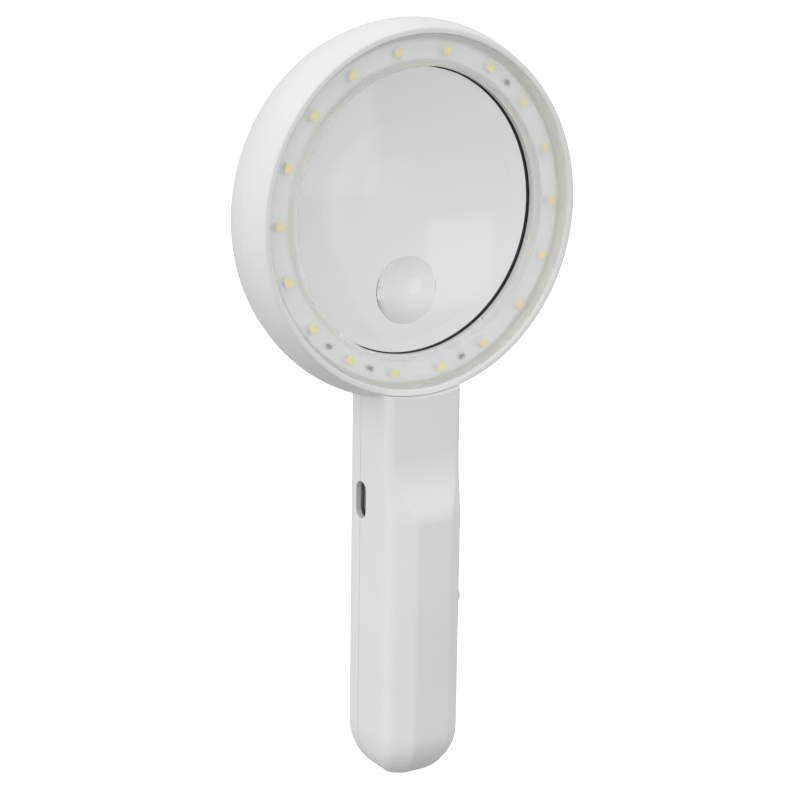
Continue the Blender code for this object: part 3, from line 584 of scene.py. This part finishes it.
def front_ribs(limit):
    """Cell cradles, switch and board posts and screw bosses, trimmed to the handle's skin."""
    bm = bmesh.new()
    for z in CELL_RIB_ZS:
        add_box(bm, (-FAR, -FAR, z - HALF_RIB), (FAR, CELL_CRADLE_Y, z + HALF_RIB))
    for z in SWITCH_POST_ZS:
        add_box(bm, (SWITCH_POST_X[0], -FAR, z - SWITCH_POST_HALF),
                (SWITCH_POST_X[1], SWITCH_POST_Y, z + SWITCH_POST_HALF))
    for x in BOARD_POST_XS:
        for low_z, high_z in BOARD_POST_ZS:
            add_box(bm, (x - BOARD_POST_HALF, -FAR, low_z),
                    (x + BOARD_POST_HALF, BOARD_POST_Y, high_z))
    for x, z in SCREW_SPOTS:
        add_rod(bm, (x, -BOSS_REACH_Y, z), (x, HANDLE_SEAM_Y - GAP, z), FRONT_BOSS_R, 32)
    ribs = cutter(finish_mesh("front_ribs", bm))
    combine(ribs, "INTERSECT", limit)
    return ribs


def rear_ribs(limit):
    """Cell clamps and screw bosses of the rear shell."""
    bm = bmesh.new()
    for z in CELL_RIB_ZS:
        add_box(bm, (CELL_CLAMP_X[0], CELL_CLAMP_Y, z - HALF_RIB),
                (CELL_CLAMP_X[1], FAR, z + HALF_RIB))
    for x, z in SCREW_SPOTS:
        add_rod(bm, (x, HANDLE_SEAM_Y + GAP, z), (x, BOSS_REACH_Y, z), REAR_BOSS_R, 32)
    ribs = cutter(finish_mesh("rear_ribs", bm))
    combine(ribs, "INTERSECT", limit)
    return ribs


def front_openings():
    """Holes of the front shell: switch, button, wires, screws and the notch beside the lens."""
    bm = bmesh.new()
    shared_openings(bm)
    add_box(bm, *SWITCH_SLOT)
    add_rod(bm, (BUTTON_HOLE_X, BUTTON_Y, BUTTON_Z), (FAR, BUTTON_Y, BUTTON_Z), BUTTON_R + GAP, 64)
    add_box(bm, *BOARD_WIRE_HOLE)
    for x, z in SCREW_SPOTS:
        add_rod(bm, (x, SCREW_TIP_Y - GAP, z), (x, HANDLE_SEAM_Y, z), SCREW_R + GAP, 24)
    notch = add_box(bm, NOTCH_LOW, NOTCH_HIGH)
    turn = Matrix.Rotation(math.radians(NOTCH_ANGLE), 4, "Y")
    spot = Matrix.Translation(head_point(NOTCH_ANGLE, BORE_R, 0)) @ turn
    bmesh.ops.transform(bm, matrix=spot, verts=notch)
    return cutter(finish_mesh("front_openings", bm))


def rear_openings():
    """Holes of the rear shell, and the wells for its screw heads."""
    bm = bmesh.new()
    shared_openings(bm)
    wells = bmesh.new()
    for x, z in SCREW_SPOTS:
        add_rod(bm, (x, 0, z), (x, SCREW_SEAT_Y, z), SCREW_R + GAP, 24)
        add_rod(wells, (x, SCREW_SEAT_Y - GAP, z), (x, FAR, z), SCREW_HEAD_R + GAP)
    return cutter(finish_mesh("rear_openings", bm)), cutter(finish_mesh("screw_wells", wells))


def build_shells(materials):
    """Front and rear shells, each the head's ring and half of the handle in one moulding."""
    front = add_object("front_shell_skin", handle_mesh("front_shell_skin", 0, HANDLE_TOP_Z))
    combine(front, "DIFFERENCE", cutter(handle_mesh("front_cavity", WALL, CAVITY_TOP_Z)))
    limit = cutter(handle_mesh("front_limit", WALL / 2, CAVITY_TOP_Z + WALL / 2))
    combine(front, "UNION", front_ribs(limit))
    behind = box_mesh("behind_seam", (-FAR, HANDLE_SEAM_Y - SEAM / 2, -FAR), (FAR, FAR, 4 * FAR))
    combine(front, "DIFFERENCE", cutter(behind))
    combine(front, "DIFFERENCE", neck_cutter())
    step_y = HEAD_SEAM_Y - SEAM / 2
    step = [(0, step_y), (HEAD_R + SEAM, step_y), (HEAD_R + SEAM, FAR), (0, FAR)]
    combine(front, "DIFFERENCE",
            cutter(turned_mesh("seam_step", step, HEAD_STEPS), HEAD_CENTRE, ALONG_Y))
    combine(front, "UNION", cutter(turned_mesh("front_ring", front_ring_profile(), HEAD_STEPS),
                                   HEAD_CENTRE, ALONG_Y))
    combine(front, "DIFFERENCE", front_openings())
    bake_modifiers(front)
    wear(front, materials["shell"], "frame", "front_shell", slot="white_plastic")

    rear = add_object("rear_shell_skin", handle_mesh("rear_shell_skin", 0, HANDLE_TOP_Z, 0))
    combine(rear, "DIFFERENCE", cutter(handle_mesh("rear_cavity", WALL, CAVITY_TOP_Z, 0)))
    limit = cutter(handle_mesh("rear_limit", WALL / 2, CAVITY_TOP_Z + WALL / 2, 0))
    combine(rear, "UNION", rear_ribs(limit))
    ahead = box_mesh("ahead_of_seam", (-FAR, -FAR, -FAR), (FAR, HANDLE_SEAM_Y + SEAM / 2, 4 * FAR))
    combine(rear, "DIFFERENCE", cutter(ahead))
    combine(rear, "DIFFERENCE", neck_cutter())
    combine(rear, "UNION", cutter(turned_mesh("rear_ring", rear_ring_profile(), HEAD_STEPS),
                                  HEAD_CENTRE, ALONG_Y))
    for opening in rear_openings():
        combine(rear, "DIFFERENCE", opening)
    bake_modifiers(rear)
    wear(rear, materials["shell"], "frame", "rear_shell", slot="white_plastic")


# ---------------------------------------------------------------- lens and lights
def lens_rise(radius):
    """Height of either lens surface over its edge, at a distance from the axis."""
    return math.sqrt(LENS_CURVE ** 2 - radius ** 2) - (LENS_CURVE - LENS_RISE)


def build_lens(materials):
    """Main lens with the small strong lens raised on its back, in one clear moulding."""
    radii = [LENS_PAINTED_SHADE_R * step / LENS_RINGS for step in range(LENS_RINGS + 1)] + [LENS_CURVE_R]
    front = [(radius, LENS_FRONT_Y - lens_rise(radius)) for radius in radii]
    back = [(radius, LENS_BACK_Y + lens_rise(radius)) for radius in reversed(radii)]
    profile = front + [(LENS_R, LENS_FRONT_Y), (LENS_R, LENS_BACK_Y)] + back
    lens = add_object("lens_body", turned_mesh("lens_body", profile, HEAD_STEPS),
                      HEAD_CENTRE, ALONG_Y)
    bend = (INSET_LENS_R ** 2 + INSET_LENS_RISE ** 2) / (2 * INSET_LENS_RISE)
    spots = [INSET_LENS_R * (1 - step / INSET_LENS_RINGS) for step in range(INSET_LENS_RINGS + 1)]
    cap = [(spot, math.sqrt(bend ** 2 - spot ** 2) - (bend - INSET_LENS_RISE)) for spot in spots]
    plug = [(0, -INSET_LENS_ROOT), (INSET_LENS_R, -INSET_LENS_ROOT), *cap]
    tilt = math.asin(INSET_LENS_DROP / LENS_CURVE)
    foot = (0, LENS_BACK_Y + lens_rise(INSET_LENS_DROP), HEAD_Z - INSET_LENS_DROP)
    combine(lens, "UNION", cutter(turned_mesh("inset_lens", plug, 72), foot,
                                  (-math.pi / 2 - tilt, 0, 0)))
    bake_modifiers(lens)
    wear(lens, [materials["lens"], materials["black"]], "frame", "main_lens", slot="clear_lens")
    # Faces outside that radius get black plastic, painted shade for the dark gap between the lens
    # and the bore.
    for face in lens.data.polygons:
        face.material_index = int(math.hypot(face.center.x, face.center.y) > LENS_PAINTED_SHADE_R)


def build_lights(materials):
    """Eighteen lights: pale packages with a round well of yellow phosphor."""
    half = [side / 2 for side in LED_SIZE]
    for index in range(LED_COUNT):
        angle = 360 / LED_COUNT * (index + 0.5)
        bm = bmesh.new()
        add_box(bm, [-side for side in half], half)
        round_edges(bm, bm.edges, LED_EDGE, 3)
        package = finish_mesh(f"light_{index + 1:02d}", bm)
        light = add_object(package.name, package,
                           head_point(angle, LED_RING_R, LED_FACE_Y + half[1]),
                           (0, math.radians(angle), 0))
        well = bmesh.new()
        add_rod(well, (0, -half[1] - PAST, 0), (0, PHOSPHOR_DEPTH - half[1], 0), PHOSPHOR_R, 32)
        combine(light, "DIFFERENCE", cutter(finish_mesh("well", well), light.location,
                                            light.rotation_euler))
        bake_modifiers(light)
        wear(light, [materials["package"], materials["phosphor"]], "frame",
             f"led_{index + 1:02d}", slot="led_package")
        for face in light.data.polygons:
            off_axis = math.hypot(face.center.x, face.center.z)
            if face.center.y < PHOSPHOR_ZONE - half[1] and off_axis < PHOSPHOR_R * 1.02:
                face.material_index = 1


def build_cover(materials):
    """Frosted cover: a flat ring with a skirt at each side, clearer on the faces inside; its front
    face has a faint painted glow.
    """
    edge = DIFFUSER_EDGE
    under, foot = DIFFUSER_Y + DIFFUSER, SHELF_FRONT_Y - GAP
    cover = arc((DIFFUSER_IN_R + edge, DIFFUSER_Y + edge), edge, 180, 270, 5)
    cover += arc((DIFFUSER_OUT_R - edge, DIFFUSER_Y + edge), edge, 270, 360, 5)
    cover += [(DIFFUSER_OUT_R, foot), (DIFFUSER_OUT_R - DIFFUSER_SKIRT, foot),
              (DIFFUSER_OUT_R - DIFFUSER_SKIRT, under), (DIFFUSER_IN_R + DIFFUSER_SKIRT, under),
              (DIFFUSER_IN_R + DIFFUSER_SKIRT, foot), (DIFFUSER_IN_R, foot)]
    ring = add_object("frosted_cover", turned_mesh("frosted_cover", cover, HEAD_STEPS),
                      HEAD_CENTRE, ALONG_Y)
    wear(ring, [materials["frost"], materials["cover"]], "frame", "diffuser_ring",
         slot="frosted_plastic")
    for face in ring.data.polygons:
        radius = math.hypot(face.center.x, face.center.y)
        hidden = DIFFUSER_IN_R + edge < radius < DIFFUSER_OUT_R - edge
        face.material_index = int(hidden and face.center.z > DIFFUSER_Y + edge)


# ---------------------------------------------------------------- button, socket and screws
def build_button(materials):
    """Push button with a soft crown and a flange that stops it behind the wall."""
    flange_in, flange_out = (x - HALF_WIDTH for x in FLANGE_X)
    crown = BUTTON_RISE - BUTTON_SIDE
    cap = [(BUTTON_R * math.cos(math.radians(a)), BUTTON_SIDE + crown * math.sin(math.radians(a)))
           for a in range(0, 88, 6)]
    stem = flange_in - BUTTON_STEM
    profile = [(0, stem), (BUTTON_STEM_R, stem), (BUTTON_STEM_R, flange_in),
               (FLANGE_R, flange_in), (FLANGE_R, flange_out), (BUTTON_R, flange_out),
               *cap, (0, BUTTON_RISE)]
    button = add_object("button_cap", turned_mesh("button_cap", profile, 64),
                        (HALF_WIDTH, BUTTON_Y, BUTTON_Z), ALONG_X)
    wear(button, materials["shell"], "button", "power_button", slot="white_plastic")


def build_socket(materials):
    """Charging socket: a drawn metal shell around a tongue with two rows of contacts."""
    half_width, half_length = SOCKET_WIDTH / 2, SOCKET_LENGTH / 2
    bm = bmesh.new()
    add_slot(bm, (SOCKET_FACE_X, PORT_Y - half_width, PORT_Z - half_length),
             (SOCKET_FACE_X + SOCKET_DEPTH, PORT_Y + half_width, PORT_Z + half_length))
    shell = add_object("socket_shell", finish_mesh("socket_shell", bm))
    half_width -= SOCKET_SHEET
    half_length -= SOCKET_SHEET
    floor_x = SOCKET_FACE_X + SOCKET_DEPTH - SOCKET_FLOOR
    bm = bmesh.new()
    add_slot(bm, (SOCKET_FACE_X - PAST, PORT_Y - half_width, PORT_Z - half_length),
             (floor_x, PORT_Y + half_width, PORT_Z + half_length))
    combine(shell, "DIFFERENCE", cutter(finish_mesh("socket_mouth", bm)))
    bake_modifiers(shell)
    wear(shell, materials["nickel"], "frame", "usb_shell", slot="plated_steel")

    tongue_low = (SOCKET_FACE_X + TONGUE_SET_BACK, PORT_Y - TONGUE_HALF_THICK,
                  PORT_Z - TONGUE_HALF_LENGTH)
    tongue_high = (floor_x - GAP, PORT_Y + TONGUE_HALF_THICK, PORT_Z + TONGUE_HALF_LENGTH)
    bm = bmesh.new()
    add_box(bm, tongue_low, tongue_high)
    round_edges(bm, bm.edges, TONGUE_EDGE, 2)
    plastic = len(bm.faces)
    for row in (-1, 1):
        for contact in range(CONTACTS):
            z = PORT_Z + (contact - (CONTACTS - 1) / 2) * CONTACT_PITCH
            y = PORT_Y + row * CONTACT_Y
            add_box(bm, (tongue_low[0] + CONTACT_ENDS[0], y - CONTACT_HALF_THICK,
                         z - CONTACT_HALF_WIDTH),
                    (tongue_high[0] - CONTACT_ENDS[1], y + CONTACT_HALF_THICK,
                     z + CONTACT_HALF_WIDTH))
    tongue = add_object("socket_tongue", finish_mesh("socket_tongue", bm))
    wear(tongue, [materials["black"], materials["gold"]], "frame", "usb_tongue",
         slot="black_plastic")
    for index, face in enumerate(tongue.data.polygons):
        face.material_index = int(index >= plastic)


def build_screws(materials):
    """Pan-head screws with a cross recess, set in wells in the flat back."""
    length = SCREW_SEAT_Y - SCREW_TIP_Y
    root_r = SCREW_R * SCREW_ROOT
    thread = []
    for turn in range(THREAD_TURNS):
        height = THREAD_START + (length - THREAD_START - THREAD_END) * turn / THREAD_TURNS
        thread += [(root_r, height), (SCREW_R, height + THREAD_RISE)]
    dome = [(SCREW_HEAD_R * math.cos(math.radians(a)), length + SCREW_HEAD
             * (HEAD_SIDE_SHARE + (1 - HEAD_SIDE_SHARE) * math.sin(math.radians(a))))
            for a in range(0, 88, 9)]
    profile = [(0, 0), (SCREW_R * 0.6, SCREW_POINT), *thread, (root_r, length),
               (SCREW_HEAD_R, length), *dome, (0, length + SCREW_HEAD)]
    top = SCREW_SEAT_Y + SCREW_HEAD
    arms = ((RECESS_LONG, RECESS_NARROW), (RECESS_NARROW, RECESS_LONG))
    for index, (x, z) in enumerate(SCREW_SPOTS):
        screw = add_object(f"screw_look_{index + 1}", turned_mesh("screw_look", profile, 40),
                           (x, SCREW_TIP_Y, z), ALONG_Y)
        turn = Matrix.Rotation(0.5 + index, 4, "Y")
        for arm, (half_x, half_z) in enumerate(arms):
            bm = bmesh.new()
            add_box(bm, (x - half_x, top - RECESS_DEPTH, z - half_z),
                    (x + half_x, top + PAST, z + half_z))
            bmesh.ops.rotate(bm, cent=Vector((x, 0, z)), matrix=turn, verts=bm.verts)
            combine(screw, "DIFFERENCE", cutter(finish_mesh(f"recess_{arm}", bm)))
        bake_modifiers(screw)
        wear(screw, materials["steel"], "frame", f"screw_{index + 1}", slot="screw_steel")


def dress_kept_nodes(materials):
    """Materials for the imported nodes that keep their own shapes."""
    kept = {"led_board": "white_board", "switch_board": "green_board",
            "control_board": "green_board", "switch_body": "black", "switch_plunger": "black",
            "charge_chip": "black", "battery_cell": "sleeve", "battery_tab_top": "nickel",
            "battery_tab_bottom": "nickel", "led_wire_positive": "red",
            "battery_wire_positive": "red", "led_wire_negative": "dark",
            "battery_wire_negative": "dark", "switch_wire_1": "dark", "switch_wire_2": "dark"}
    kept.update({f"resistor_{index + 1}": "resistor" for index in range(4)})
    for name, material in kept.items():
        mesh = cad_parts[name].data
        mesh.materials.clear()
        mesh.materials.append(materials[material])


# ---------------------------------------------------------------- stage
CAMERA_AZIMUTH = math.radians(-33.685)
CAMERA_HEIGHT_ANGLE = math.radians(14.023)
CAMERA_ROLL = math.radians(0.85)
CAMERA_OFFSET = (-0.007408, -0.066886, 0.860668)    # right, up and back from the lens's middle
CAMERA_AIM = Vector((0, LED_FACE_Y, HEAD_Z))
CAMERA_LENS = 108.13


def add_camera():
    """The camera, placed by its angles round the lens's middle."""
    flat = math.cos(CAMERA_HEIGHT_ANGLE)
    back = Vector((math.sin(CAMERA_AZIMUTH) * flat, -math.cos(CAMERA_AZIMUTH) * flat,
                   math.sin(CAMERA_HEIGHT_ANGLE)))
    right = Matrix.Rotation(CAMERA_ROLL, 3, back) @ Vector((0, 0, 1)).cross(back).normalized()
    up = back.cross(right)
    place = CAMERA_AIM + sum((axis * shift for axis, shift
                              in zip((right, up, back), CAMERA_OFFSET)), Vector())
    data = bpy.data.cameras.new("camera")
    data.lens = CAMERA_LENS
    data.sensor_width = 36
    data.clip_start = 0.02
    data.clip_end = 50
    camera = bpy.data.objects.new("camera", data)
    turn = Matrix((right, up, back)).transposed().to_4x4()
    camera.matrix_world = Matrix.Translation(place) @ turn
    bpy.context.scene.collection.objects.link(camera)
    bpy.context.scene.camera = camera


FLOOR_HALF_SIZE, FLOOR_DROP = 15, 0.12

WORLD_LEVEL = 0.62          # radiance of the studio at eye level
WORLD_LIFT = 0.38           # added straight above and taken off straight below
WORLD_LEAN = -0.06          # a little more light on the left


def math_node(tree, operation, *sources):
    """A math node on sockets and numbers."""
    made = tree.nodes.new("ShaderNodeMath")
    made.operation = operation
    for slot, source in zip(made.inputs, sources):
        if isinstance(source, (int, float)):
            slot.default_value = source
        else:
            tree.links.new(source, slot)
    return made.outputs["Value"]


def window(tree, source, low, high, soft):
    """1 between two angles and 0 outside them, with soft edges; everything in degrees."""
    rise = tree.nodes.new("ShaderNodeMapRange")
    fall = tree.nodes.new("ShaderNodeMapRange")
    for made, edge, values in ((rise, low, (0, 1)), (fall, high, (1, 0))):
        made.interpolation_type = "SMOOTHSTEP"
        for name, value in (("From Min", math.radians(edge - soft)),
                            ("From Max", math.radians(edge + soft)),
                            ("To Min", values[0]), ("To Max", values[1])):
            made.inputs[name].default_value = value
        tree.links.new(source, made.inputs["Value"])
    return math_node(tree, "MULTIPLY", rise.outputs["Result"], fall.outputs["Result"])


# Azimuth range, height range, edge softness (all in degrees) and added radiance.  Azimuth 0 is in
# front of the lens (-Y) and grows towards +X; a negative radiance is a dark flag.
SOFTBOXES = (
    ((-4, 24), (-5, 26), 2.5, 1.0),
    ((34, 60), (-27, -13), 4.0, 0.40),
    ((-125, -40), (12, 65), 14.0, 0.55),
    ((-125, -60), (-75, -15), 14.0, 0.60),
    ((-110, -45), (-15, 12), 12.0, 0.14),
    ((-40, 50), (-20, 20), 14.0, 0.15),
    ((-35, 80), (-80, -22), 12.0, -0.20),
    ((78, 112), (-40, 12), 10.0, 0.32),
    ((112, 190), (-60, 5), 12.0, 0.18),
    ((100, 200), (12, 50), 12.0, -0.12),
)


def add_world():
    """White where the camera looks, and a soft studio elsewhere: light from above, panels."""
    world = bpy.data.worlds.new("studio")
    bpy.context.scene.world = world
    world.use_nodes = True
    tree = world.node_tree
    background = tree.nodes["Background"]
    place = tree.nodes.new("ShaderNodeTexCoord")
    split = tree.nodes.new("ShaderNodeSeparateXYZ")
    tree.links.new(place.outputs["Generated"], split.inputs["Vector"])
    x, y, z = (split.outputs[axis] for axis in "XYZ")
    azimuth = math_node(tree, "ARCTAN2", x, math_node(tree, "MULTIPLY", y, -1))
    height = math_node(tree, "ARCSINE", z)
    level = math_node(tree, "MULTIPLY_ADD", z, WORLD_LIFT, WORLD_LEVEL)
    level = math_node(tree, "MULTIPLY_ADD", x, WORLD_LEAN, level)
    for across, up, soft, radiance in SOFTBOXES:
        panel = math_node(tree, "MULTIPLY", window(tree, azimuth, *across, soft),
                          window(tree, height, *up, soft))
        level = math_node(tree, "MULTIPLY_ADD", panel, radiance, level)
    color = tree.nodes.new("ShaderNodeCombineColor")
    for channel in color.inputs:
        tree.links.new(level, channel)
    tree.links.new(color.outputs["Color"], background.inputs["Color"])
    white = node(tree, "ShaderNodeBackground", Strength=1.0)
    white.inputs["Color"].default_value = (1, 1, 1, 1)
    path = tree.nodes.new("ShaderNodeLightPath")
    mix = tree.nodes.new("ShaderNodeMixShader")
    tree.links.new(path.outputs["Is Camera Ray"], mix.inputs["Fac"])
    tree.links.new(background.outputs["Background"], mix.inputs[1])
    tree.links.new(white.outputs["Background"], mix.inputs[2])
    tree.links.new(mix.outputs["Shader"], tree.nodes["World Output"].inputs["Surface"])


def add_floor():
    """A plain pale floor well below the held object; it takes no part in the lighting."""
    bm = bmesh.new()
    bmesh.ops.create_grid(bm, x_segments=1, y_segments=1, size=FLOOR_HALF_SIZE)
    floor = add_object("floor", finish_mesh("floor", bm), (0, 0, HANDLE_END_Z - FLOOR_DROP))
    material = bpy.data.materials.new("floor_white")
    material.use_nodes = True
    shader = material.node_tree.nodes["Principled BSDF"]
    shader.inputs["Base Color"].default_value = (0.85, 0.85, 0.85, 1)
    shader.inputs["Roughness"].default_value = 0.9
    shader.inputs["Emission Color"].default_value = (1, 1, 1, 1)
    shader.inputs["Emission Strength"].default_value = 0.45
    floor.data.materials.append(material)
    floor.visible_transmission = False
    floor.visible_glossy = False
    floor.visible_diffuse = False


def main():
    """Build every piece, then the camera, the light and the floor."""
    materials = make_materials()
    build_shells(materials)
    build_lens(materials)
    build_lights(materials)
    build_cover(materials)
    build_button(materials)
    build_socket(materials)
    build_screws(materials)
    dress_kept_nodes(materials)
    add_camera()
    add_world()
    add_floor()
    bpy.context.scene.view_settings.view_transform = "Standard"


main()
